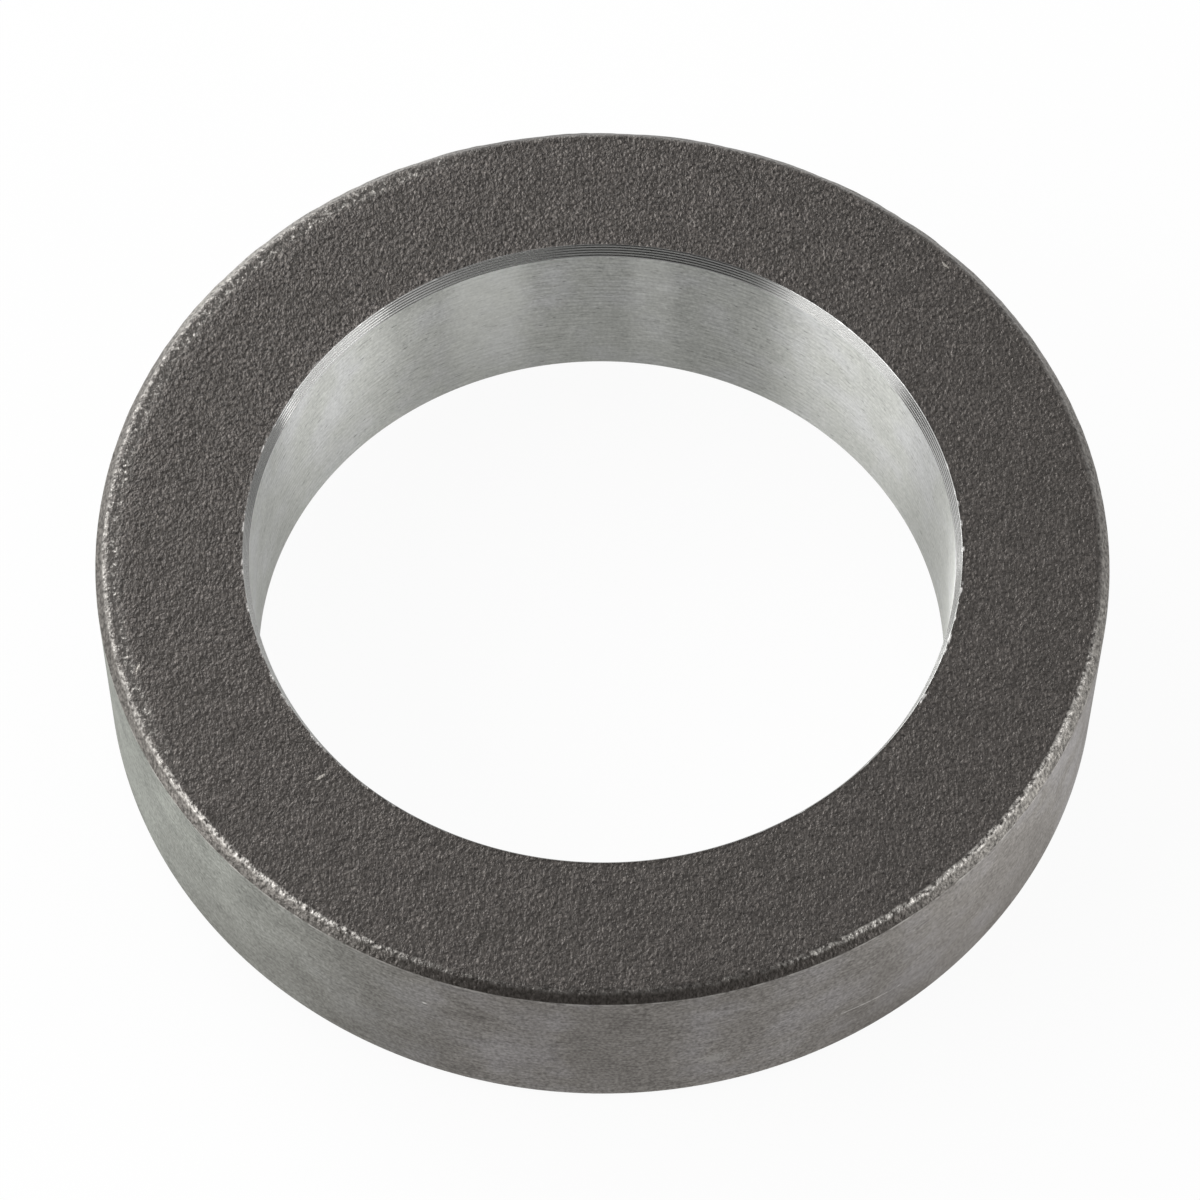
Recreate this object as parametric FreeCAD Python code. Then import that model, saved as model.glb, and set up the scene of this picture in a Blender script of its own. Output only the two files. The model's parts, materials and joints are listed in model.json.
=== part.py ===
import FreeCAD, Part

import math
import os

# Press-on retainer ring that holds a bearing on its shaft. All lengths are in millimetres.
# The ring lies flat on its lower end face. Its axis is +Z, and the origin is the centre of that face.
# It is one forged piece: the bore, its lead-in and the rim are turned, the end faces stay as forged.

# Driving dimensions
outer_diameter = 50.0         # turned rim
bore_diameter = 34.9          # turned seat that presses onto the shaft
ring_height = 10.9            # from the lower end face to the upper one

lead_in_depth = 0.75          # how far the lead-in reaches down the bore from the upper face
lead_in_angle = 20.0          # degrees between the lead-in and the axis, shallow so that the shaft starts true
bore_break = 0.3              # 45 degree break where the bore leaves the lower face

upper_corner_width = 0.5      # radial width of the slope at the upper outer corner
upper_corner_height = 0.5     # height of that slope, down to the crisp edge that turning the rim leaves
lower_corner_width = 0.6      # the same slope at the lower outer corner
lower_corner_height = 0.6
corner_blend_radius = 0.4     # forged roll between an end face and the slope beside it

# Radii and heights that follow from them
outer_radius = outer_diameter / 2
bore_radius = bore_diameter / 2
lead_in_width = lead_in_depth * math.tan(math.radians(lead_in_angle))
upper_face_rim = outer_radius - upper_corner_width
lower_face_rim = outer_radius - lower_corner_width
rim_top = ring_height - upper_corner_height
bore_top = ring_height - lead_in_depth


def section_point(radius, height):
    """A point of the ring's section, which is drawn in the XZ plane."""
    return FreeCAD.Vector(radius, 0, height)


# The section, counter-clockwise from the inner end of the lower face
outline = [
    section_point(bore_radius + bore_break, 0),
    section_point(lower_face_rim, 0),
    section_point(outer_radius, lower_corner_height),
    section_point(outer_radius, rim_top),
    section_point(upper_face_rim, ring_height),
    section_point(bore_radius + lead_in_width, ring_height),
    section_point(bore_radius, bore_top),
    section_point(bore_radius, bore_break),
]
section = Part.Face(Part.makePolygon(outline + outline[:1]))

# One full turn about the axis gives the ring with sharp corners
axis_start = FreeCAD.Vector(0, 0, 0)
axis_direction = FreeCAD.Vector(0, 0, 1)
sharp_ring = section.revolve(axis_start, axis_direction, 360)


def circle_edge(solid, radius, height):
    """The circular edge of the solid that has this radius and lies at this height."""
    for edge in solid.Edges:
        if not isinstance(edge.Curve, Part.Circle):
            continue
        same_radius = abs(edge.Curve.Radius - radius) < 1e-4
        same_height = abs(edge.Curve.Center.z - height) < 1e-4
        if same_radius and same_height:
            return edge
    raise ValueError(f"no circular edge of radius {radius} at height {height}")


# Each end face rolls over into the slope beside it, as forging leaves it.
# The edge between slope and rim stays crisp, and so do the turned edges of the bore.
rolled_edges = [
    circle_edge(sharp_ring, upper_face_rim, ring_height),
    circle_edge(sharp_ring, lower_face_rim, 0),
]
retainer_ring = sharp_ring.makeFillet(corner_blend_radius, rolled_edges)

# The ring must come out as one sound solid
if retainer_ring.ShapeType != "Solid":
    retainer_ring = retainer_ring.Solids[0]
assert retainer_ring.isValid(), "the ring is not a valid solid"

bore_wall_length = bore_top - bore_break
box = retainer_ring.optimalBoundingBox()
print(f"box {box.XLength:.3f} x {box.YLength:.3f} x {box.ZLength:.3f} mm, lowest point at z = {box.ZMin:.3f}")
print(f"volume {retainer_ring.Volume:.1f} mm3, bore wall {bore_wall_length:.2f} mm long from z = {bore_break:.2f}")

os.makedirs("parts", exist_ok=True)
retainer_ring.exportStep("parts/retainer_ring.step")
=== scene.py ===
# %% [markdown]
# # A press-on bearing retainer ring
#
# A retainer ring is a short, heavy collar of steel. It is pressed onto a shaft behind a bearing and keeps
# the bearing in its place. It starts as a forging. A lathe then cuts the bore, the lead-in at the top of
# the bore and the rim, and leaves the two end faces as the forge and the shot-blaster left them. So one
# small ring shows four finishes, and that contrast is what this scene is about.
#
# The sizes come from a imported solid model, which is loaded first and stays fixed.

# %% Load the solid model
import json
import math

import bmesh
import bpy
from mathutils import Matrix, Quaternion, Vector, noise


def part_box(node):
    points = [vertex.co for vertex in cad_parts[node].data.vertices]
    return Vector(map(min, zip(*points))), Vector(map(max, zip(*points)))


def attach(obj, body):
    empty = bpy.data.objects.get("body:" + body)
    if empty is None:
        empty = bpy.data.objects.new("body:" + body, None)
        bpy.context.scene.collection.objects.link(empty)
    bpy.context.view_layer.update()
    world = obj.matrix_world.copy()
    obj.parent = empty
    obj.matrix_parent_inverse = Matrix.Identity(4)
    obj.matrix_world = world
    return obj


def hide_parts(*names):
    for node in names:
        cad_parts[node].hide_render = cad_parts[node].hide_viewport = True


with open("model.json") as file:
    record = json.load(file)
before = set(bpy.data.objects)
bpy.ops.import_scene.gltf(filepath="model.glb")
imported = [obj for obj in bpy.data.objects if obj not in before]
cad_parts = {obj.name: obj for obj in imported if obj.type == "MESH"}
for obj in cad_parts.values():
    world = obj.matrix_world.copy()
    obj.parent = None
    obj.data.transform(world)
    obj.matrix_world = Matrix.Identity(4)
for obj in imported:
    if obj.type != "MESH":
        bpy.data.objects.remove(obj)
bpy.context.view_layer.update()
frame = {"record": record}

# %% [markdown]
# ## Sizes
#
# The solid gives the outer radius and the height, and its record gives the bore. The small sizes of the
# corners and of the lead-in are the same ones that the solid was drawn with. Blender works in metres, so
# one name for a millimetre keeps the numbers readable.

# %% Sizes of the ring
MM = 0.001

ring_low, ring_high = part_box("retainer_ring")
outer_radius = ring_high.x
ring_height = ring_high.z
bore_radius = next(m for m in frame["record"]["mounts"] if m["name"] == "bore")["dims"]["r_mm"] * MM

lead_in_depth = 0.75 * MM
lead_in_width = lead_in_depth * math.tan(math.radians(20))
bore_break = 0.3 * MM
upper_corner = 0.5 * MM
lower_corner = 0.6 * MM
corner_blend = 0.4 * MM

print(f"outer radius {outer_radius / MM:.2f} mm, bore radius {bore_radius / MM:.2f} mm")
print(f"height {ring_height / MM:.2f} mm")

# %% [markdown]
# ## The camera
#
# A ring seen from a slant is two families of ellipses, one for each circular edge. Their shapes, and the
# gap between the top and bottom ones, fix where the camera stood and how long its lens was. The camera
# stands 273 mm from the ring, 60 degrees above the table, with a long lens. It is turned by about half a
# degree up and half a degree about its own axis, and the picture is shifted by two pixels, because the
# ring isn't quite in the middle of the frame. The lens is given in pixels of the frame, the unit in which
# ellipses are measured.

# %% Place the camera
camera_distance = 10.905 * outer_radius
camera_elevation = math.radians(60.338)
towards_camera = Vector((0, -math.cos(camera_elevation), math.sin(camera_elevation)))

camera = bpy.data.objects.new("camera", bpy.data.cameras.new("camera"))
bpy.context.scene.collection.objects.link(camera)
bpy.context.scene.camera = camera
camera.location = towards_camera * camera_distance
camera.rotation_mode = "QUATERNION"
look_at_ring = (-towards_camera).to_track_quat("-Z", "Y")
turn_up = Quaternion((1, 0, 0), math.radians(0.563))
turn_about_view = Quaternion((0, 0, 1), math.radians(0.596))
camera.rotation_quaternion = look_at_ring @ turn_up @ turn_about_view
frame_width = 1200
lens_in_pixels = 5343.4
camera.data.shift_x = -2.1 / frame_width
camera.data.sensor_width = 36
camera.data.lens = camera.data.sensor_width * lens_in_pixels / frame_width
camera.data.clip_start = 0.01
camera.data.clip_end = 20
print(f"camera {camera_distance / MM:.0f} mm away, lens {camera.data.lens:.1f} mm")

# %% [markdown]
# ## Two helpers
#
# Colours are written as the hex values that a paint program shows. Blender's shaders work with linear
# light, so one function turns a hex value into linear numbers. Another adds one shader node, sets it and
# links it.

# %% Colour and node helpers
def linear(hex_colour):
    """An sRGB hex colour as the linear red, green, blue and alpha that shaders use."""
    channels = []
    for start in (1, 3, 5):
        value = int(hex_colour[start:start + 2], 16) / 255
        channels.append(value / 12.92 if value <= 0.04045 else ((value + 0.055) / 1.055) ** 2.4)
    return (*channels, 1.0)


def add_node(tree, kind, inputs=None, **settings):
    """Add one node. inputs gives each socket a value or another node's output."""
    node = tree.nodes.new(kind)
    for name, value in settings.items():
        setattr(node, name, value)
    for socket, value in (inputs or {}).items():
        if isinstance(value, bpy.types.NodeSocket):
            tree.links.new(value, node.inputs[socket])
        else:
            node.inputs[socket].default_value = value
    return node


print("a mid grey of #808080 is", round(linear("#808080")[0], 3), "in linear light")

# %% [markdown]
# ## The section
#
# A lathe part is a flat section turned about an axis. The section is drawn like a pen stroke: one point
# is extruded again and again, and each new point is moved on by one step. The size of the steps is chosen
# for what comes later. They are short where the surface has detail, such as the rough upper face, and
# long on the plain turned walls.

# %% Draw the section with a pen
section = bmesh.new()


def pen_to(pen, radius, height, steps):
    """Extrude the pen's point in equal steps until it is at this radius and height."""
    stride = (Vector((radius, 0, height)) - pen.co) / steps
    for _ in range(steps):
        pen = bmesh.ops.extrude_vert_indiv(section, verts=[pen])["verts"][0]
        bmesh.ops.translate(section, verts=[pen], vec=stride)
    return pen


mouth_radius = bore_radius + lead_in_width
bore_top = ring_height - lead_in_depth
near_edge = 0.25 * MM
dip_inner_radius = 22.9 * MM
dip_outer_radius = 24.3 * MM

bore_foot = section.verts.new((bore_radius + bore_break, 0, 0))
lower_roll = pen_to(bore_foot, outer_radius - lower_corner, 0, 12)
wall_foot = pen_to(lower_roll, outer_radius, lower_corner, 3)
pen = pen_to(wall_foot, outer_radius, lower_corner + near_edge, 1)
pen = pen_to(pen, outer_radius, ring_height - upper_corner - near_edge, 2)
wall_top = pen_to(pen, outer_radius, ring_height - upper_corner, 1)
upper_roll = pen_to(wall_top, outer_radius - upper_corner, ring_height, 4)
pen = pen_to(upper_roll, dip_outer_radius, ring_height, 1)
pen = pen_to(pen, dip_inner_radius, ring_height, 12)
mouth = pen_to(pen, mouth_radius, ring_height, 24)
print("the outside of the section has", len(section.verts), "points")

# %% [markdown]
# ## The lead-in
#
# The lead-in is a steep little cone that guides the shaft in. It was turned quickly, with a coarse feed,
# and the tool left five grooves that catch the light one by one. Each groove is a 45 degree flank with a
# short upright wall below it, so the section goes down the cone like a staircase.

# %% Draw the lead-in and the bore
groove_count = 5
flank = lead_in_width / groove_count
riser = lead_in_depth / groove_count - flank

pen = mouth
groove_corners = []
for groove in range(groove_count):
    pen = pen_to(pen, pen.co.x - flank, pen.co.z - flank, 2)
    groove_corners.append(pen)
    pen = pen_to(pen, pen.co.x, pen.co.z - riser, 2)
    groove_corners.append(pen)
groove_corners.pop()  # the last corner is the upper edge of the bore, which gets no bevel
pen = pen_to(pen, bore_radius, bore_top - near_edge, 1)
pen = pen_to(pen, bore_radius, bore_break + near_edge, 2)
bore_lower_edge = pen_to(pen, bore_radius, bore_break, 1)
pen_to(bore_lower_edge, bore_radius + bore_break, 0, 1)
bmesh.ops.remove_doubles(section, verts=section.verts[:], dist=0.001 * MM)
print(f"{groove_count} grooves, each {(flank + riser) / MM:.3f} mm high")

# %% [markdown]
# ## Rolled and crisp corners
#
# No real edge is perfectly sharp. The two corners that the forge rounded roll over with a radius of 0.4
# mm. The edges that the lathe cut are crisp, but a tiny bevel on them still catches a thin line of light.
# A bevel of single points rounds a flat section before it is spun, which is cheaper than a bevel on the
# whole ring.

# %% Round the corners of the section
roll_reach = corner_blend * math.tan(math.radians(22.5))
bmesh.ops.bevel(section, geom=[upper_roll, lower_roll], affect="VERTICES", offset=roll_reach,
                offset_type="OFFSET", segments=6, profile=0.5, material=-1)
bmesh.ops.bevel(section, geom=[wall_foot, wall_top, mouth, bore_lower_edge], affect="VERTICES",
                offset=0.025 * MM, offset_type="OFFSET", segments=2, profile=0.5, material=-1)
bmesh.ops.bevel(section, geom=groove_corners, affect="VERTICES", offset=0.012 * MM,
                offset_type="OFFSET", segments=1, profile=0.5, material=-1)
print("the section has", len(section.verts), "points")

# %% [markdown]
# ## The spin
#
# Spinning the section closes it into a ring. One full spin would be the shortest way, but it slows down
# with every step that it adds. So the section is first spun through an eighth of a turn, and a second
# spin then sets seven copies of that eighth beside it. Merging the doubles sews them together, and the
# normals are recalculated after that, because a spin can turn a shape inside out.

# %% Spin the section into a ring
eighth = math.tau / 8
bmesh.ops.spin(section, geom=section.verts[:] + section.edges[:], cent=(0, 0, 0), axis=(0, 0, 1),
               angle=eighth, steps=90)
bmesh.ops.spin(section, geom=section.verts[:] + section.edges[:] + section.faces[:], cent=(0, 0, 0),
               axis=(0, 0, 1), angle=7 * eighth, steps=7, use_duplicate=True)
bmesh.ops.remove_doubles(section, verts=section.verts[:], dist=0.0005 * MM)
bmesh.ops.recalc_face_normals(section, faces=section.faces[:])
print("triangles:", 2 * len(section.faces), " open edges:", sum(not e.is_manifold for e in section.edges))

# %% [markdown]
# ## Four finishes on one piece
#
# Each face gets the number of its finish while the ring still has its exact shape, because then the
# height and radius of a face say which surface it belongs to.

# %% Sort the faces by finish
FORGED, RIM, LEAD_IN, BORE = range(4)

for face in section.faces:
    middle = face.calc_center_median()
    radius = math.hypot(middle.x, middle.y)
    face.smooth = True
    if radius > outer_radius - 0.02 * MM:
        face.material_index = RIM
    elif radius < mouth_radius and middle.z > bore_top:
        face.material_index = LEAD_IN
    elif radius < bore_radius + bore_break and middle.z < bore_top:
        face.material_index = BORE
    else:
        face.material_index = FORGED
print([sum(f.material_index == k for f in section.faces) for k in range(4)], "faces of each finish")

# The corners of the grooves stay sharp, so that each flank shades as a flat band
for edge in section.edges:
    edge.smooth = edge.calc_face_angle() < math.radians(20)
print(sum(not edge.smooth for edge in section.edges), "sharp edges")

# %% [markdown]
# ## The forged relief
#
# A forged and blasted face isn't flat. It has broad hollows, small dimples and, near the rim, a shallow
# dip. Grain that is finer than the mesh belongs in the material, but these shapes catch the light from
# every side, so they are real: each point moves inwards by a depth that layers of noise give. Points only
# move inwards, because the ring has to stay inside its solid model.

# %% Move the points of the forged skin
def bump_of(place, size, seed):
    """Smooth noise from 0 to 1 with features of about this size."""
    return 0.5 + 0.5 * noise.noise(place / size + Vector((seed, 2 * seed, 3 * seed)))


def ramp(value, start, end):
    """A smooth step from 0 at start to 1 at end."""
    share = min(1, max(0, (value - start) / (end - start)))
    return share * share * (3 - 2 * share)


dip_azimuth = math.radians(160)
dip_side = Vector((math.cos(dip_azimuth), math.sin(dip_azimuth), 0))
dip_depth = 0.055 * MM
dip_bottom = 24.05 * MM


def rim_dip(place):
    """The shallow dip that one side of the upper face has along its rim."""
    radius = math.hypot(place.x, place.y)
    towards_dip = place.dot(dip_side) / radius
    profile = ramp(radius, dip_inner_radius, dip_bottom) - ramp(radius, dip_bottom, dip_outer_radius)
    return dip_depth * profile * ramp(towards_dip, 0.2, 0.8)


def forged_depth(place):
    """How far the forged skin lies below the exact surface."""
    hollows = bump_of(place, 3.5 * MM, 11)
    dimples = bump_of(place, 0.75 * MM, 23) ** 2
    pocks = max(0, bump_of(place, 0.5 * MM, 37) - 0.62)
    dip = rim_dip(place) if place.z > ring_height / 2 else 0
    return MM * (0.018 * hollows + 0.022 * dimples + 0.10 * pocks) + dip


section.normal_update()
skin = {vert for face in section.faces if face.material_index == FORGED for vert in face.verts}
crisp = {vert for face in section.faces if face.material_index != FORGED for vert in face.verts}
moves = {}
for vert in skin - crisp:
    moves[vert] = vert.normal * -forged_depth(vert.co)
for vert, move in moves.items():
    vert.co += move
print("deepest point:", round(max(move.length for move in moves.values()) / MM, 3), "mm")

# %% [markdown]
# ## Ragged edges
#
# The lathe cut the rim only until it was clean. Where the rough slope dips a little, the cut starts
# lower, so the edge between them wanders, least of all at the front. The edge round the mouth of the bore
# is chipped here and there. Both are moves of the points on those edges, downwards or away from the bore,
# so that the ring stays inside its solid model.

# %% Let the cut edges wander
wandered = 0
for vert in crisp:
    radius = math.hypot(vert.co.x, vert.co.y)
    if radius > outer_radius - 0.03 * MM and vert.co.z > ring_height - upper_corner - 0.05 * MM:
        wander = 0.6 * bump_of(vert.co, 1.7 * MM, 61) + 0.4 * bump_of(vert.co, 0.5 * MM, 67)
        cleaner_front = 1 - 0.9 * ramp(-vert.co.y / radius, 0.75, 0.95)
        vert.co.z -= 0.24 * MM * cleaner_front * max(0, wander - 0.35)
        wandered += 1
    elif vert.co.z > ring_height - 0.03 * MM:
        chip = 0.2 * MM * max(0, bump_of(vert.co, 0.45 * MM, 71) - 0.68)
        outward = Vector((vert.co.x, vert.co.y, 0)) / radius
        vert.co += outward * chip + Vector((0, 0, -0.5 * chip))
        wandered += 1
print(wandered, "points on the wandering edges")

# %% [markdown]
# ## Flattened grooves
#
# Shafts that slid in and out have flattened the grooves of the lead-in on two sides at the back. The
# points there move towards the plain cone by a share of the groove's depth, and their flanks then reflect
# as one soft band.

# %% Flatten the grooves on two sides
def flattening(azimuth):
    """The share of the groove's depth that is gone at this azimuth in degrees."""
    right_back = 0.7 * ramp(26 - abs(azimuth - 45), 0, 10)
    left_back = 0.65 * ramp(18 - abs(azimuth - 139), 0, 8)
    return max(right_back, left_back)


flattened = 0
for vert in {vert for face in section.faces if face.material_index == LEAD_IN for vert in face.verts}:
    if bore_top + 0.03 * MM < vert.co.z < ring_height - 0.03 * MM:
        radius = math.hypot(vert.co.x, vert.co.y)
        share = flattening(math.degrees(math.atan2(vert.co.y, vert.co.x)))
        cone_radius = bore_radius + (vert.co.z - bore_top) * lead_in_width / lead_in_depth
        vert.co += Vector((vert.co.x, vert.co.y, 0)) / radius * share * (cone_radius - radius)
        flattened += share > 0
print(flattened, "points on flattened grooves")

# %% [markdown]
# ## One object
#
# The mesh becomes an object of the scene. It takes the place of the solid's only node and moves with the
# root body, because nothing on a retainer ring moves by itself.

# %% Put the ring in the scene
ring_mesh = bpy.data.meshes.new("steel_ring")
section.to_mesh(ring_mesh)
section.free()
ring = bpy.data.objects.new("steel_ring", ring_mesh)
bpy.context.scene.collection.objects.link(ring)
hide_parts("retainer_ring")
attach(ring, "root")
print("the ring has", len(ring_mesh.vertices), "points and", len(ring_mesh.polygons), "faces")

# %% [markdown]
# ## One side of the ring
#
# A ring that has been handled isn't the same all round. Wear, films and residue lie more on one side than
# on another, and so do the painted light and shade below, which sit where the lamps reflect or shade. A
# side is given by its azimuth, in degrees from +X towards +Y: the right is 0, the back is 90, the left is
# 180 and the front is 270. One helper fades a change in between two angles from that azimuth. It uses the
# object's own coordinates, so what it marks stays on the ring wherever the ring goes.

# %% A helper for one side of the ring
def on_side(tree, azimuth, outer_angle, inner_angle):
    """1 on the side of the ring that faces this azimuth, 0 elsewhere."""
    place = add_node(tree, "ShaderNodeTexCoord").outputs["Object"]
    flat_place = add_node(tree, "ShaderNodeMapping", {"Vector": place, "Scale": (1, 1, 0)})
    towards = Vector((math.cos(math.radians(azimuth)), math.sin(math.radians(azimuth)), 0))
    outwards = add_node(tree, "ShaderNodeVectorMath", {0: flat_place.outputs[0]}, operation="NORMALIZE")
    closeness = add_node(tree, "ShaderNodeVectorMath", {0: outwards.outputs[0], 1: towards},
                         operation="DOT_PRODUCT")
    side = add_node(tree, "ShaderNodeMapRange", {
        "Value": closeness.outputs["Value"], "From Min": math.cos(math.radians(outer_angle)),
        "From Max": math.cos(math.radians(inner_angle))}, interpolation_type="SMOOTHSTEP")
    return side.outputs[0]


print("the front of the ring is at azimuth", round(math.degrees(math.atan2(towards_camera.y, 0))) % 360)

# %% [markdown]
# ## As-forged steel
#
# Carbon steel that was forged hot and shot-blasted is a dark, slightly brown grey. The blasting leaves a
# grain of craters, and flecks of scale between them vary the tone. The grain gives the eye a dense
# sparkle with no clear reflection. Real grain goes down to a few hundredths of a millimetre, finer than a
# picture of the whole ring can show, so the craters are drawn 0.20 to 0.25 mm wide and the flecks 0.12 to
# 0.22 mm. They are stretched a little, which keeps the noise from curling like worms. On the far side the
# flecks are painted with more contrast. This is painted shading that stands in for the crater shadows and
# sparkle that the side light gives there.

# %% As-forged, shot-blasted steel
forged = bpy.data.materials.new("as-forged shot-blasted carbon steel")
forged.use_nodes = True
tree = forged.node_tree
tree.nodes.clear()

place = add_node(tree, "ShaderNodeTexCoord").outputs["Object"]
crater_place = add_node(tree, "ShaderNodeMapping", {
    "Vector": place, "Scale": (1 / (0.20 * MM), 1 / (0.25 * MM), 1 / (0.25 * MM))})
craters = add_node(tree, "ShaderNodeTexNoise", {"Vector": crater_place.outputs[0], "Scale": 1, "Detail": 2,
                                                "Roughness": 0.55})
fleck_place = add_node(tree, "ShaderNodeMapping", {
    "Vector": place, "Scale": (1 / (0.12 * MM), 1 / (0.22 * MM), 1 / (0.16 * MM))})
scale_flecks = add_node(tree, "ShaderNodeTexNoise", {"Vector": fleck_place.outputs[0], "Scale": 1,
                                                     "Detail": 3})
blotches = add_node(tree, "ShaderNodeTexNoise", {"Vector": place, "Scale": 1 / (1.0 * MM), "Detail": 3})
fleck = add_node(tree, "ShaderNodeMapRange", {"Value": scale_flecks.outputs["Fac"], "From Min": 0.35,
                                              "From Max": 0.65})
# On the far side the flecks get darker darks and lighter lights: painted shading from the side light.
far_side = on_side(tree, 100, 100, 25)
darkest = add_node(tree, "ShaderNodeMapRange", {"Value": far_side, "To Min": 0.08, "To Max": -0.1})
lightest = add_node(tree, "ShaderNodeMapRange", {"Value": far_side, "To Min": 0.96, "To Max": 1.18})
skin_fleck = add_node(tree, "ShaderNodeMapRange", {"Value": scale_flecks.outputs["Fac"], "From Min": 0.35,
                                                   "From Max": 0.65, "To Min": darkest.outputs[0],
                                                   "To Max": lightest.outputs[0]})
skin_tone = add_node(tree, "ShaderNodeMix", {"Factor": skin_fleck.outputs[0], 6: linear("#34312f"),
                                             7: linear("#65605c")}, data_type="RGBA", clamp_factor=False)
stain = add_node(tree, "ShaderNodeMapRange", {"Value": blotches.outputs["Fac"], "From Min": 0.35,
                                              "From Max": 0.65, "To Min": 0.45, "To Max": 0.0})
stained = add_node(tree, "ShaderNodeMix", {"Factor": stain.outputs[0], 6: skin_tone.outputs[2],
                                           7: linear("#383532")}, data_type="RGBA")
print("the forged face has", len(tree.nodes), "nodes so far")

# %% [markdown]
# ## Lines of bright specks
#
# Where the face rolls over into the slope, handling has worn the high spots bright, and a painted
# highlight lies on them too. Such a line is thin, it wavers and it is broken into specks, so its radius is
# shifted by slow noise and its strength is cut up by fast noise. One helper draws the worn ridge with its
# painted highlight, the band of crumbs beside it, which is painted sparkle, and the specks at the mouth of
# the bore, which are painted glints on its chips.

# %% A helper for lines of bright specks
flat_place = add_node(tree, "ShaderNodeMapping", {"Vector": place, "Scale": (1, 1, 0)})
radius = add_node(tree, "ShaderNodeVectorMath", {0: flat_place.outputs[0]}, operation="LENGTH")
wavering = add_node(tree, "ShaderNodeTexNoise", {"Vector": place, "Scale": 1 / (0.9 * MM), "Detail": 1})
shift = add_node(tree, "ShaderNodeMapRange", {"Value": wavering.outputs["Fac"], "To Min": -0.09 * MM,
                                              "To Max": 0.09 * MM})
wavy_radius = add_node(tree, "ShaderNodeMath", {0: radius.outputs["Value"], 1: shift.outputs[0]},
                       operation="ADD")
specks = add_node(tree, "ShaderNodeTexNoise", {"Vector": place, "Scale": 1 / (0.22 * MM), "Detail": 2})


def bright_speck_line(line_radius, half_width, low, high):
    """A line of bright specks at this radius. low and high say which specks show."""
    offset = add_node(tree, "ShaderNodeMath", {0: wavy_radius.outputs[0], 1: line_radius},
                      operation="SUBTRACT")
    distance = add_node(tree, "ShaderNodeMath", {0: offset.outputs[0]}, operation="ABSOLUTE")
    near = add_node(tree, "ShaderNodeMapRange", {"Value": distance.outputs[0], "From Min": 0.3 * half_width,
                                                 "From Max": half_width, "To Min": 1, "To Max": 0},
                    interpolation_type="SMOOTHSTEP")
    speck_share = add_node(tree, "ShaderNodeMapRange", {"Value": specks.outputs["Fac"], "From Min": low,
                                                 "From Max": high})
    line_specks = add_node(tree, "ShaderNodeMath", {0: near.outputs[0], 1: speck_share.outputs[0]}, operation="MULTIPLY")
    return line_specks.outputs[0]


ridge_radius = 24.53 * MM
print(f"the worn ridge is {(outer_radius - ridge_radius) / MM:.2f} mm from the rim")

# %% [markdown]
# ## The slope at the rim
#
# The slope has less scale than the face and is lighter. On top of that it is painted lightest at the
# back left and at the right front, and a little lighter on the left and at the back right, as painted light
# where the lamps reflect in it, so its two tones are moved by four sides added up.

# %% The slope at the rim
slope = add_node(tree, "ShaderNodeMapRange", {
    "Value": wavy_radius.outputs[0], "From Min": ridge_radius + 0.01 * MM,
    "From Max": ridge_radius + 0.11 * MM}, interpolation_type="SMOOTHSTEP")
# Painted light: the slope's tones are raised on the four sides where the lamps reflect in it.
left_side = on_side(tree, 190, 65, 48)
slope_painted_light = add_node(tree, "ShaderNodeMath", {0: left_side, 1: 0.5, 2: on_side(tree, 335, 34, 2)},
                   operation="MULTIPLY_ADD")
slope_painted_light = add_node(tree, "ShaderNodeMath", {0: on_side(tree, 129, 28, 8), 1: 1.1, 2: slope_painted_light.outputs[0]},
                   operation="MULTIPLY_ADD")
slope_painted_light = add_node(tree, "ShaderNodeMath", {0: on_side(tree, 32, 50, 25), 1: 0.5, 2: slope_painted_light.outputs[0]},
                   operation="MULTIPLY_ADD")
hollow_tone = add_node(tree, "ShaderNodeMix", {"Factor": slope_painted_light.outputs[0], 6: linear("#3c3834"),
                                               7: linear("#56534f")}, data_type="RGBA", clamp_factor=False)
high_tone = add_node(tree, "ShaderNodeMix", {"Factor": slope_painted_light.outputs[0], 6: linear("#5e5955"),
                                             7: linear("#9b9791")}, data_type="RGBA", clamp_factor=False)
slope_tone = add_node(tree, "ShaderNodeMix", {"Factor": fleck.outputs[0], 6: hollow_tone.outputs[2],
                                              7: high_tone.outputs[2]}, data_type="RGBA")
tone = add_node(tree, "ShaderNodeMix", {"Factor": slope.outputs[0], 6: stained.outputs[2],
                                        7: slope_tone.outputs[2]}, data_type="RGBA")
print("the slope starts at a radius of", round((ridge_radius + 0.01 * MM) / MM, 2), "mm")

# %% [markdown]
# ## The worn ridge and its painted highlight
#
# The ridge is a little worn all round. It is painted brighter on the left and brightest at the front left
# and the right front, a painted highlight where the lamps catch the rolled corner, and hardly at all at
# the very front. The strength is the largest of what these sides give.

# %% The worn ridge and its painted highlight
ridge_half_width = 0.17 * MM
ridge = bright_speck_line(ridge_radius, ridge_half_width, 0.38, 0.62)
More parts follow.
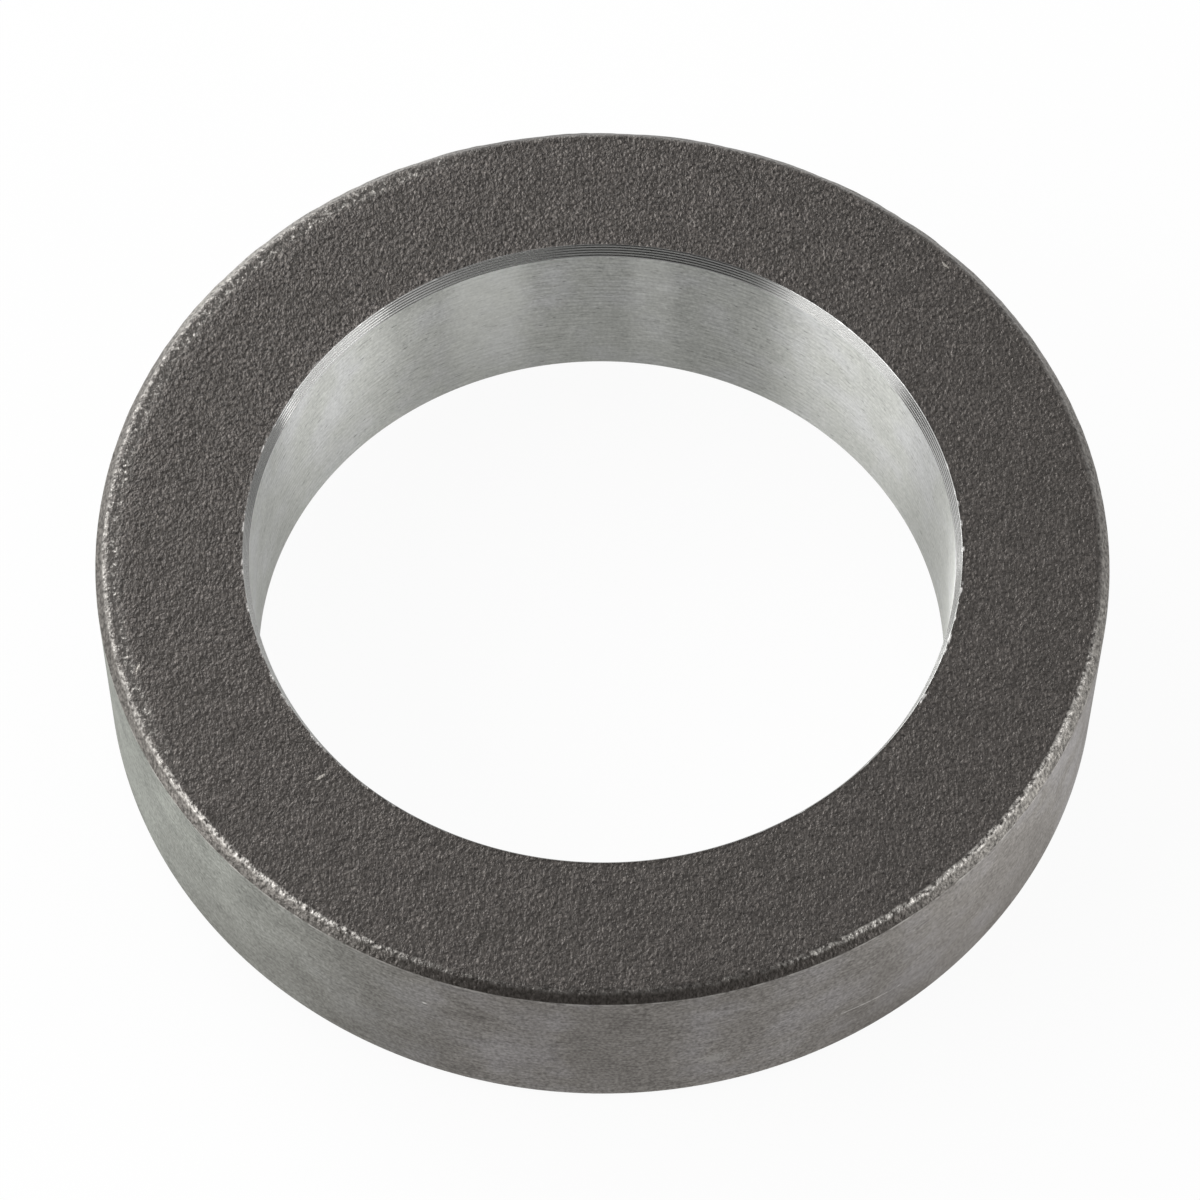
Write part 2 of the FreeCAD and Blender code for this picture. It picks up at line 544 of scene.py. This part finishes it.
# Real wear all round, with a painted highlight on the sides where the lamps catch the rolled corner.
left = add_node(tree, "ShaderNodeMath", {0: on_side(tree, 216, 42, 24), 1: on_side(tree, 165, 50, 28)},
                operation="MAXIMUM")
left_wear_and_highlight = add_node(tree, "ShaderNodeMapRange", {"Value": left.outputs[0], "To Min": 0.16, "To Max": 0.62})
front_left_highlight = add_node(tree, "ShaderNodeMath", {0: on_side(tree, 226, 28, 10), 1: 0.9},
                           operation="MULTIPLY")
wear_and_highlight = add_node(tree, "ShaderNodeMath", {0: left_wear_and_highlight.outputs[0], 1: front_left_highlight.outputs[0]},
                operation="MAXIMUM")
wear_and_highlight = add_node(tree, "ShaderNodeMath", {0: wear_and_highlight.outputs[0], 1: on_side(tree, 320, 36, 14)},
                operation="MAXIMUM")
ridge = add_node(tree, "ShaderNodeMath", {0: ridge, 1: wear_and_highlight.outputs[0]}, operation="MULTIPLY").outputs[0]
print(f"the worn ridge is {2 * ridge_half_width / MM:.2f} mm wide")

# %% [markdown]
# ## Chips, crumbs and painted glints
#
# The edge round the mouth of the bore is thin and sharp, so it chips. The chips are painted near white,
# painted glints of the lamps, most on the right and some on the left. Inside the ridge, at the far left,
# lies a band of bright crumbs on skin that is a little lighter all over: painted sparkle and painted light
# from the left.

# %% Painted glints at the mouth and painted sparkle beside the ridge
# The chips are painted near white on the right and the left: painted glints of the lamps.
mouth_glint_sides = add_node(tree, "ShaderNodeMath", {0: on_side(tree, 190, 60, 20), 1: 0.35,
                                               2: on_side(tree, 350, 25, 14)}, operation="MULTIPLY_ADD")
chips = add_node(tree, "ShaderNodeTexNoise", {"Vector": place, "Scale": 1 / (0.55 * MM), "Detail": 1})
chip_glints = add_node(tree, "ShaderNodeMapRange", {"Value": chips.outputs["Fac"], "From Min": 0.53,
                                                "From Max": 0.60, "To Max": mouth_glint_sides.outputs[0]})
mouth_line = bright_speck_line(mouth_radius + 0.02 * MM, 0.09 * MM, 0.3, 0.5)
mouth_chip_glints = add_node(tree, "ShaderNodeMath", {0: mouth_line, 1: chip_glints.outputs[0]},
                        operation="MULTIPLY").outputs[0]
crumb_radius = 24.15 * MM
# The crumbs and the lighter band are painted sparkle and painted light from the left.
crumb_band = add_node(tree, "ShaderNodeMath", {0: bright_speck_line(crumb_radius, 0.42 * MM, 0.55, 0.72), 1: 0.75},
                      operation="MULTIPLY")
lighter_band_and_crumbs = add_node(tree, "ShaderNodeMath", {0: bright_speck_line(crumb_radius, 0.6 * MM, 0.1, 0.4), 1: 0.08,
                                           2: crumb_band.outputs[0]}, operation="MULTIPLY_ADD")
crumbs = add_node(tree, "ShaderNodeMath", {0: lighter_band_and_crumbs.outputs[0], 1: on_side(tree, 160, 58, 38)},
                  operation="MULTIPLY")
ridge = add_node(tree, "ShaderNodeMath", {0: ridge, 1: crumbs.outputs[0]}, operation="MAXIMUM").outputs[0]
# The ridge and the crumbs take a pale colour: wear with a painted highlight, and painted sparkle.
ridge_tone = add_node(tree, "ShaderNodeMix", {"Factor": ridge, 6: tone.outputs[2], 7: linear("#d0ccc6")},
                      data_type="RGBA")
# The chips at the mouth take a near white: painted glints.
worn_and_glinting_tone = add_node(tree, "ShaderNodeMix", {"Factor": mouth_chip_glints, 6: ridge_tone.outputs[2],
                                             7: linear("#f2f0ed")}, data_type="RGBA")
print(f"the crumbs lie {(ridge_radius - crumb_radius) / MM:.2f} mm inside the ridge")

# %% [markdown]
# ## The forged surface
#
# The craters are only shading, because they are finer than the mesh. They are deeper on the far side of
# the face and shallow on the slope. Scale and bare steel share the skin, so it is part metal and doesn't
# go black where it mirrors a dark part of the tent.

# %% The forged surface
gloss = add_node(tree, "ShaderNodeMapRange", {"Value": ridge, "To Min": 0.375, "To Max": 0.33})
face_depth = add_node(tree, "ShaderNodeMapRange", {"Value": on_side(tree, 120, 95, 20),
                                                   "To Min": 0.125 * MM, "To Max": 0.17 * MM})
crater_depth = add_node(tree, "ShaderNodeMapRange", {"Value": slope.outputs[0],
                                                     "To Min": face_depth.outputs[0], "To Max": 0.06 * MM})
relief = add_node(tree, "ShaderNodeBump", {"Height": craters.outputs["Fac"],
                                           "Distance": crater_depth.outputs[0], "Strength": 1.0})
skin_shader = add_node(tree, "ShaderNodeBsdfPrincipled", {"Base Color": worn_and_glinting_tone.outputs[2],
                                                          "Metallic": 0.6, "Roughness": gloss.outputs[0],
                                                          "Normal": relief.outputs[0]})
add_node(tree, "ShaderNodeOutputMaterial", {"Surface": skin_shader.outputs[0]})
ring_mesh.materials.append(forged)
print("the forged finish has", len(tree.nodes), "nodes")

# %% [markdown]
# ## Turned steel
#
# The rim, the lead-in and the bore were turned. A turned surface is covered with fine lines that run
# round it. They spread a reflection along the axis and keep it narrow round the ring. So each light in
# the studio shows as a soft upright band. Close up, the steel has short dashes along the lines, a fine
# grain and a thin film of oil that tints it here and there. Satin steel on the rim looks soft and
# brownish, the coarsely turned lead-in has the sharpest reflections, and the finely turned bore is the
# palest. Real tool lines are a few hundredths of a millimetre high. The ones on the rim and in the bore
# are drawn about 0.1 mm high, so that a picture of the whole ring holds them.

# %% The three turned finishes
def turned_steel(name, tones, roughness, anisotropy, line_height, dash_length, grain_size, grain_share):
    """Steel with tool lines round the axis. tones are its dark, its light and its film's colour."""
    material = bpy.data.materials.new(name)
    material.use_nodes = True
    tree = material.node_tree
    tree.nodes.clear()
    place = add_node(tree, "ShaderNodeTexCoord").outputs["Object"]
    stretch = add_node(tree, "ShaderNodeMapping", {
        "Vector": place, "Scale": (1 / dash_length, 1 / dash_length, 1 / line_height)})
    lines = add_node(tree, "ShaderNodeTexNoise", {"Vector": stretch.outputs[0], "Scale": 1, "Detail": 2})
    grain = add_node(tree, "ShaderNodeTexNoise", {"Vector": place, "Scale": 1 / grain_size, "Detail": 2})
    texture = add_node(tree, "ShaderNodeMix", {"Factor": grain_share, 2: lines.outputs["Fac"],
                                               3: grain.outputs["Fac"]}, data_type="FLOAT")
    clouds = add_node(tree, "ShaderNodeTexNoise", {"Vector": place, "Scale": 1 / (3.0 * MM), "Detail": 3})
    cloudy = add_node(tree, "ShaderNodeMath", {0: clouds.outputs["Fac"], 1: 0.4, 2: texture.outputs[0]},
                      operation="MULTIPLY_ADD")
    spread = add_node(tree, "ShaderNodeMapRange", {"Value": cloudy.outputs[0], "From Min": 0.5,
                                                   "From Max": 0.9})
    metal = add_node(tree, "ShaderNodeMix", {"Factor": spread.outputs[0], 6: linear(tones[0]),
                                             7: linear(tones[1])},
                     data_type="RGBA")
    film = add_node(tree, "ShaderNodeMapRange", {"Value": clouds.outputs["Fac"], "From Min": 0.45,
                                                 "From Max": 0.65, "To Max": 0.4})
    tinted = add_node(tree, "ShaderNodeMix", {"Factor": film.outputs[0], 6: metal.outputs[2],
                                              7: linear(tones[2])},
                      data_type="RGBA", blend_type="COLOR")
    gloss = add_node(tree, "ShaderNodeMapRange", {"Value": texture.outputs[0], "From Min": 0.3,
                                                  "From Max": 0.7,
                                                  "To Min": roughness + 0.03, "To Max": roughness - 0.03})
    relief = add_node(tree, "ShaderNodeBump", {"Height": texture.outputs[0], "Distance": 0.004 * MM,
                                               "Strength": 1.0})
    around = add_node(tree, "ShaderNodeTangent", direction_type="RADIAL", axis="Z")
    shader = add_node(tree, "ShaderNodeBsdfPrincipled", {
        "Base Color": tinted.outputs[2], "Metallic": 1.0, "Roughness": gloss.outputs[0],
        "Anisotropic": anisotropy,
        "Anisotropic Rotation": 0.25, "Tangent": around.outputs[0], "Normal": relief.outputs[0]})
    add_node(tree, "ShaderNodeOutputMaterial", {"Surface": shader.outputs[0]})
    return material


ring_mesh.materials.append(turned_steel("satin turned steel", ("#696561", "#a5a19c", "#848285"), 0.50, 0.85,
                                        0.12 * MM, 1.25 * MM, 0.17 * MM, 0.66))
ring_mesh.materials.append(turned_steel("coarse turned steel", ("#979796", "#afafad", "#a4a4a2"), 0.22, 1.0,
                                        0.05 * MM, 2.0 * MM, 0.3 * MM, 0.3))
ring_mesh.materials.append(turned_steel("fine turned steel", ("#aeafab", "#d8d9d4", "#b4b4b8"), 0.42, 1.0,
                                        0.10 * MM, 0.7 * MM, 0.16 * MM, 0.5))
print([material.name for material in ring_mesh.materials])

# %% [markdown]
# ## Covers
#
# Dirt, oil and wear change the colour of a turned surface, but not its shape, and so do painted light and
# shade. Each is laid over the base colour that is there already, like a thin coat of paint with its own
# strength at every place.

# %% A helper for covers
def colour_over(material, cover, cover_colour, blend_type="MIX"):
    """Lay a colour over a steel where cover is 1. The blend type COLOR keeps how light it is."""
    tree = material.node_tree
    shader = next(n for n in tree.nodes if n.bl_idname == "ShaderNodeBsdfPrincipled")
    below = shader.inputs["Base Color"].links[0].from_socket
    covered = add_node(tree, "ShaderNodeMix", {"Factor": cover, 6: below, 7: linear(cover_colour)},
                       data_type="RGBA", blend_type=blend_type)
    tree.links.new(covered.outputs[2], shader.inputs["Base Color"])


print("covers can be laid over", len(ring_mesh.materials) - 1, "turned finishes")

# %% [markdown]
# ## Darker groove walls and painted reflections
#
# The upright walls of the grooves are darker. How far down the cone a place is, counted in grooves, tells
# flank from wall. On three sides the walls are painted darker still and the flanks near white: painted
# shade and painted reflections of the lamps. At the back, where the grooves are flattened, the steel is
# painted bright on two sides, a painted reflection. The left is painted lighter than the rest, the right
# front a middle tone and one place on the right darker: painted reflections of the studio.

# %% Darker groove walls and painted reflections in the lead-in
lead_in = ring_mesh.materials[LEAD_IN]
tree = lead_in.node_tree
place = add_node(tree, "ShaderNodeTexCoord").outputs["Object"]
height = add_node(tree, "ShaderNodeSeparateXYZ", {0: place}).outputs["Z"]
below = add_node(tree, "ShaderNodeMath", {0: ring_height, 1: height}, operation="SUBTRACT")
grooves = add_node(tree, "ShaderNodeMath", {0: below.outputs[0], 1: flank + riser}, operation="DIVIDE")
phase = add_node(tree, "ShaderNodeMath", {0: grooves.outputs[0]}, operation="FRACT")
in_groove = add_node(tree, "ShaderNodeMath", {0: phase.outputs[0], 1: flank / (flank + riser)},
                     operation="GREATER_THAN")
colour_over(lead_in, in_groove.outputs[0], "#888886")
# On these sides the flanks get a painted reflection and the walls painted shade.
clear = add_node(tree, "ShaderNodeMath", {0: on_side(tree, 114, 22, 10), 1: on_side(tree, 14, 20, 8)},
                 operation="MAXIMUM")
clear = add_node(tree, "ShaderNodeMath", {0: clear.outputs[0], 1: on_side(tree, 200, 24, 10)},
                 operation="MAXIMUM")
right_wall_shade = add_node(tree, "ShaderNodeMath", {0: on_side(tree, 17, 18, 8), 1: 0.9}, operation="MULTIPLY")
painted_wall_shade = add_node(tree, "ShaderNodeMath", {0: clear.outputs[0], 1: 0.6}, operation="MULTIPLY")
painted_wall_shade = add_node(tree, "ShaderNodeMath", {0: painted_wall_shade.outputs[0], 1: right_wall_shade.outputs[0]},
                 operation="MAXIMUM")
painted_wall_shade = add_node(tree, "ShaderNodeMath", {0: painted_wall_shade.outputs[0], 1: in_groove.outputs[0]},
                 operation="MULTIPLY")
flank_reflection = add_node(tree, "ShaderNodeMath", {0: in_groove.outputs[0], 1: -1.0, 2: 1.0},
                        operation="MULTIPLY_ADD")
flank_reflection = add_node(tree, "ShaderNodeMath", {0: flank_reflection.outputs[0], 1: clear.outputs[0]},
                        operation="MULTIPLY")
flank_reflection = add_node(tree, "ShaderNodeMath", {0: flank_reflection.outputs[0], 1: 0.65}, operation="MULTIPLY")
# The flattened grooves at the back are painted bright: a painted reflection.
back_left_wiped_reflection = add_node(tree, "ShaderNodeMath", {0: on_side(tree, 142, 16, 7), 1: 0.72},
                           operation="MULTIPLY")
wiped_reflection = add_node(tree, "ShaderNodeMath", {0: back_left_wiped_reflection.outputs[0], 1: on_side(tree, 46, 19, 9)},
                 operation="MAXIMUM")
colour_over(lead_in, wiped_reflection.outputs[0], "#dadad8")
# Three painted reflections: lighter on the left, a middle tone at the right front, darker on the right.
bright_left_reflection = (198, 28, 10, 0.85, "#cececc")
mid_front_reflection = (338, 34, 18, 0.85, "#a8a8a6")
dark_right_reflection = (356, 16, 5, 0.9, "#747472")
for azimuth, outer_angle, inner_angle, strength, colour in (bright_left_reflection, mid_front_reflection, dark_right_reflection):
    side = on_side(tree, azimuth, outer_angle, inner_angle)
    cover = add_node(tree, "ShaderNodeMath", {0: side, 1: strength}, operation="MULTIPLY")
    colour_over(lead_in, cover.outputs[0], colour)
colour_over(lead_in, painted_wall_shade.outputs[0], "#3c3c3a")
colour_over(lead_in, flank_reflection.outputs[0], "#e6e6e4")
print("the lead-in has", len(tree.nodes), "nodes")

# %% [markdown]
# ## A film and painted shade on the rim
#
# Fingers and oil leave a thin film that tints the left side of the rim slightly green without making it
# darker. The rim is also painted darker low down in two places, fading out towards the top: painted shade
# of the shadowed table that the rim reflects there.

# %% A film and painted shade on the rim
rim = ring_mesh.materials[RIM]
tree = rim.node_tree
colour_over(rim, on_side(tree, 195, 65, 12), "#848680", blend_type="COLOR")
place = add_node(tree, "ShaderNodeTexCoord").outputs["Object"]
height = add_node(tree, "ShaderNodeSeparateXYZ", {0: place}).outputs["Z"]
# Painted shade: the rim is darker low down on two sides, where it reflects the shadowed table.
low_down = add_node(tree, "ShaderNodeMapRange", {"Value": height, "From Min": 1 * MM, "From Max": 9 * MM,
                                                 "To Min": 0.5, "To Max": 0})
front_left = on_side(tree, 232, 28, 8)
two_sides = add_node(tree, "ShaderNodeMath", {0: front_left, 1: 0.7, 2: on_side(tree, 316, 25, 7)},
                     operation="MULTIPLY_ADD")
rim_low_shade = add_node(tree, "ShaderNodeMath", {0: low_down.outputs[0], 1: two_sides.outputs[0]},
                  operation="MULTIPLY")
colour_over(rim, rim_low_shade.outputs[0], "#5d5955")
print("the rim has", len(tree.nodes), "nodes so far")

# %% [markdown]
# ## A painted edge highlight
#
# A thin bright line is painted where the rim meets the slope, a painted highlight of that edge. It is 0.1
# mm high and broken, so it covers the top of the rim by height and has gaps from a noise.

# %% A painted highlight along the top of the rim
rim_top = ring_height - upper_corner
# A painted highlight: the top of the rim is painted light in a broken line.
at_top = add_node(tree, "ShaderNodeMapRange", {"Value": height, "From Min": rim_top - 0.16 * MM,
                                               "From Max": rim_top - 0.06 * MM})
gaps = add_node(tree, "ShaderNodeTexNoise", {"Vector": place, "Scale": 1 / (0.8 * MM), "Detail": 3})
left_on = add_node(tree, "ShaderNodeMapRange", {"Value": gaps.outputs["Fac"], "From Min": 0.42,
                                                "From Max": 0.6, "To Max": 0.7})
edge_highlight = add_node(tree, "ShaderNodeMath", {0: at_top.outputs[0], 1: left_on.outputs[0]}, operation="MULTIPLY")
colour_over(rim, edge_highlight.outputs[0], "#bcb9b4")
print(f"the burr lies {rim_top / MM:.1f} mm above the table")

# %% [markdown]
# ## The bore
#
# The tool moved 0.35 mm along the bore in each turn and left a faint ridge, which shows only where it was
# worn least. Short dark dashes are left where the tool tore the steel. They are drawn about twice as wide
# as real ones, or the picture would lose them. The bore is painted a little darker towards the bottom,
# painted shade of the shadowed table that it reflects there. Two soft streaks run along it at the back,
# where a shaft slid in, and they are painted brighter towards the top, a painted highlight.

# %% Feed lines, dashes, painted shade and streaks in the bore
feed_step = 0.35 * MM
bore = ring_mesh.materials[BORE]
tree = bore.node_tree
place = add_node(tree, "ShaderNodeTexCoord").outputs["Object"]
height = add_node(tree, "ShaderNodeSeparateXYZ", {0: place}).outputs["Z"]
turns = add_node(tree, "ShaderNodeMath", {0: height, 1: math.tau / feed_step}, operation="MULTIPLY")
feed = add_node(tree, "ShaderNodeMath", {0: turns.outputs[0]}, operation="SINE")
patches = add_node(tree, "ShaderNodeTexNoise", {"Vector": place, "Scale": 1 / (5 * MM), "Detail": 2})
unworn = add_node(tree, "ShaderNodeMapRange", {"Value": patches.outputs["Fac"], "From Min": 0.4,
                                               "From Max": 0.65, "To Min": 0.03, "To Max": 0.28})
feed_lines = add_node(tree, "ShaderNodeMath", {0: feed.outputs[0], 1: unworn.outputs[0]},
                      operation="MULTIPLY")
colour_over(bore, feed_lines.outputs[0], "#83847f")

torn = add_node(tree, "ShaderNodeMapping", {"Vector": place, "Scale": (1 / (0.5 * MM), 1 / (0.5 * MM),
                                                                       1 / (0.09 * MM))})
tears = add_node(tree, "ShaderNodeTexNoise", {"Vector": torn.outputs[0], "Scale": 1, "Detail": 1})
dash = add_node(tree, "ShaderNodeMapRange", {"Value": tears.outputs["Fac"], "From Min": 0.66,
                                             "From Max": 0.74, "To Max": 0.6})
colour_over(bore, dash.outputs[0], "#4b4b48")

# Painted shade: the bore is darker towards the bottom, where it reflects the shadowed table.
bore_low_shade = add_node(tree, "ShaderNodeMapRange", {"Value": height, "From Min": 0, "From Max": 10 * MM,
                                            "To Min": 0.4, "To Max": 0})
colour_over(bore, bore_low_shade.outputs[0], "#858681")

# The streaks are painted brighter towards the top: a painted highlight.
high_up = add_node(tree, "ShaderNodeMapRange", {"Value": height, "From Min": 1 * MM, "From Max": 8 * MM,
                                                "To Min": 0.1, "To Max": 0.42})
thin_streak = on_side(tree, 82, 5, 1)
streaks_and_highlight = add_node(tree, "ShaderNodeMath", {0: thin_streak, 1: 0.7, 2: on_side(tree, 110, 9, 2)},
                   operation="MULTIPLY_ADD")
streaks_and_highlight = add_node(tree, "ShaderNodeMath", {0: streaks_and_highlight.outputs[0], 1: high_up.outputs[0]},
                   operation="MULTIPLY")
colour_over(bore, streaks_and_highlight.outputs[0], "#f4f5f0")
print("the bore holds", round(ring_height / feed_step), "feed lines")

# %% [markdown]
# ## Small marks
#
# A ring that has been handled carries a few marks of its own: a bright nick, a long scratch and a smudge
# on the rim, and light scuffs on the upper face. Each is an oblong spot with a place, a turn and a size
# in millimetres. Fine noise breaks up its edge.

# %% The nick and the scuffs
def scuff(tree, middle, turn, half_size, ragged):
    """How strongly an oblong mark covers each place. Sizes are in millimetres and turns in degrees."""
    place = add_node(tree, "ShaderNodeTexCoord").outputs["Object"]
    own_place = add_node(tree, "ShaderNodeMapping", {
        "Vector": place, "Location": Vector(middle) * MM,
        "Rotation": [math.radians(angle) for angle in turn],
        "Scale": Vector(half_size) * MM}, vector_type="TEXTURE")
    distance = add_node(tree, "ShaderNodeVectorMath", {0: own_place.outputs[0]}, operation="LENGTH")
    grain = add_node(tree, "ShaderNodeTexNoise", {"Vector": place, "Scale": 1 / (0.15 * MM), "Detail": 1})
    edge = add_node(tree, "ShaderNodeMath", {0: grain.outputs["Fac"], 1: ragged,
                                             2: distance.outputs["Value"]},
                    operation="MULTIPLY_ADD")
    cover = add_node(tree, "ShaderNodeMapRange", {"Value": edge.outputs[0], "From Min": 0.5 * ragged + 0.5,
                                                  "From Max": 0.5 * ragged + 1.0, "To Min": 1, "To Max": 0})
    return cover.outputs[0]


nick = scuff(rim.node_tree, (-8.26, -23.6, 7.57), (0, 0, -19), (0.16, 0.3, 0.10), ragged=1.0)
colour_over(rim, nick, "#d8d6d2")
scratch = scuff(rim.node_tree, (12.9, -21.4, 3.5), (0, 7.8, 31.1), (2.0, 0.4, 0.05), ragged=2.5)
colour_over(rim, scratch, "#b9b6b2")
smudge = scuff(rim.node_tree, (5.54, -24.38, 3.46), (0, 0, 12.8), (0.7, 0.4, 0.45), ragged=3.0)
colour_over(rim, smudge, "#a19e9a")
face_scuffs = [((-13.44, -13.25, 10.9), 40, (0.30, 0.09, 0.2)),
               ((-22.53, -7.34, 10.9), 75, (0.35, 0.10, 0.2)),
               ((17.27, 16.66, 10.9), -50, (0.28, 0.08, 0.2))]
for middle, turn, half_size in face_scuffs:
    colour_over(forged, scuff(forged.node_tree, middle, (0, 0, turn), half_size, ragged=1.0), "#a9a49d")
print(3 + len(face_scuffs), "marks")

# %% [markdown]
# ## The table
#
# The ring lies on white paper that is lit so strongly that it shows as plain white. For the camera, for
# reflections and through glass, most of it is therefore a white glow. The rest is paper that takes light,
# which keeps the soft shadow under the ring.

# %% The table
table_paper = bpy.data.materials.new("white table paper")
table_paper.use_nodes = True
tree = table_paper.node_tree
tree.nodes.clear()
paper = add_node(tree, "ShaderNodeBsdfDiffuse", {"Color": linear("#f6f6f6")})
glow = add_node(tree, "ShaderNodeEmission", {"Color": (1, 1, 1, 1), "Strength": 1.0})
rays = add_node(tree, "ShaderNodeLightPath")
seen = add_node(tree, "ShaderNodeMath", {0: rays.outputs["Is Camera Ray"],
                                         1: rays.outputs["Is Glossy Ray"]},
                operation="MAXIMUM")
seen = add_node(tree, "ShaderNodeMath", {0: seen.outputs[0], 1: rays.outputs["Is Transmission Ray"]},
                operation="MAXIMUM")
glow_share = 0.94
share = add_node(tree, "ShaderNodeMath", {0: seen.outputs[0], 1: glow_share}, operation="MULTIPLY")
blend = add_node(tree, "ShaderNodeMixShader", {0: share.outputs[0], 1: paper.outputs[0],
                                               2: glow.outputs[0]})
add_node(tree, "ShaderNodeOutputMaterial", {"Surface": blend.outputs[0]})

table_shape = bmesh.new()
bmesh.ops.create_circle(table_shape, cap_ends=True, radius=3, segments=96)
table_mesh = bpy.data.meshes.new("table")
table_shape.to_mesh(table_mesh)
table_shape.free()
table = bpy.data.objects.new("table", table_mesh)
bpy.context.scene.collection.objects.link(table)
table_mesh.materials.append(table_paper)
print("the glow makes up", glow_share, "of the paper that the camera sees")

# %% [markdown]
# ## The lamps
#
# Three upright softboxes stand round the ring. Each shows in the turned steel as one upright band. They
# are set by angles, because a reflection depends on the direction of a lamp and not on its distance: the
# azimuth of the middle, the spread, and the angles of the lower and upper edges above the table. The
# strength is what each patch of the lamp gives, so a larger lamp gives more light in all.

# %% The lamps
def softbox(name, azimuth, spread, low, high, radiance, distance):
    """An upright lamp that faces the ring. The angles are in degrees and the distance is in metres."""
    lamp = bpy.data.lights.new(name, "AREA")
    lamp.shape = "RECTANGLE"
    foot, top = (distance * math.tan(math.radians(angle)) for angle in (low, high))
    lamp.size = 2 * distance * math.tan(math.radians(spread / 2))
    lamp.size_y = top - foot
    lamp.energy = radiance * math.pi * lamp.size * lamp.size_y
    holder = bpy.data.objects.new(name, lamp)
    bpy.context.scene.collection.objects.link(holder)
    outward = Vector((math.cos(math.radians(azimuth)), math.sin(math.radians(azimuth)), 0))
    holder.location = outward * distance + Vector((0, 0, (foot + top) / 2))
    holder.rotation_mode = "QUATERNION"
    holder.rotation_quaternion = (-outward).to_track_quat("-Z", "Y")
    holder.visible_camera = False


softbox("left softbox", 198, 44, 13, 50, 3.6, distance=0.3)
softbox("back left strip light", 130, 30, 9, 40, 4.7, distance=0.32)
softbox("right softbox", -13, 38, 9, 32, 3.1, distance=0.35)

# %% [markdown]
# ## The tent
#
# Round the table stands a white tent, which fills in the light from all sides. It is brighter at the back
# left and darker in one place low at the right. At the front it has a wide opening for the camera,
# darkest in its middle, and that is what makes the front of the turned rim go dark. Each patch is round
# and fades out between two angles from its middle.

# %% The tent
world = bpy.data.worlds.new("studio tent")
bpy.context.scene.world = world
world.use_nodes = True
tree = world.node_tree
tree.nodes.clear()
direction = add_node(tree, "ShaderNodeTexCoord").outputs["Generated"]


def patch_of_tent(tone_outside, tone_inside, azimuth, elevation, outer_angle, inner_angle):
    """A round patch of the tent with its own tone, which fades out between two angles from its middle."""
    middle = Vector((math.cos(math.radians(azimuth)) * math.cos(math.radians(elevation)),
                     math.sin(math.radians(azimuth)) * math.cos(math.radians(elevation)),
                     math.sin(math.radians(elevation))))
    closeness = add_node(tree, "ShaderNodeVectorMath", {0: direction, 1: middle}, operation="DOT_PRODUCT")
    inside = add_node(tree, "ShaderNodeMapRange", {
        "Value": closeness.outputs["Value"], "From Min": math.cos(math.radians(outer_angle)),
        "From Max": math.cos(math.radians(inner_angle))}, interpolation_type="SMOOTHSTEP")
    tone = add_node(tree, "ShaderNodeMix", {"Factor": inside.outputs[0], 2: tone_outside, 3: tone_inside},
                    data_type="FLOAT")
    return tone.outputs[0]


tone = patch_of_tent(0.6, 1.1, azimuth=140, elevation=50, outer_angle=40, inner_angle=22)
tone = patch_of_tent(tone, 1.4, azimuth=125, elevation=20, outer_angle=40, inner_angle=18)
tone = patch_of_tent(tone, 0.3, azimuth=25, elevation=4, outer_angle=20, inner_angle=9)
tone = patch_of_tent(tone, 0.15, azimuth=250, elevation=38, outer_angle=62, inner_angle=44)
tone = patch_of_tent(tone, 0.03, azimuth=254, elevation=28, outer_angle=36, inner_angle=24)
sky = add_node(tree, "ShaderNodeBackground", {"Color": (1, 1, 1, 1), "Strength": tone})
add_node(tree, "ShaderNodeOutputWorld", {"Surface": sky.outputs[0]})

bpy.context.scene.view_settings.view_transform = "Standard"
print("the tent has 5 patches")
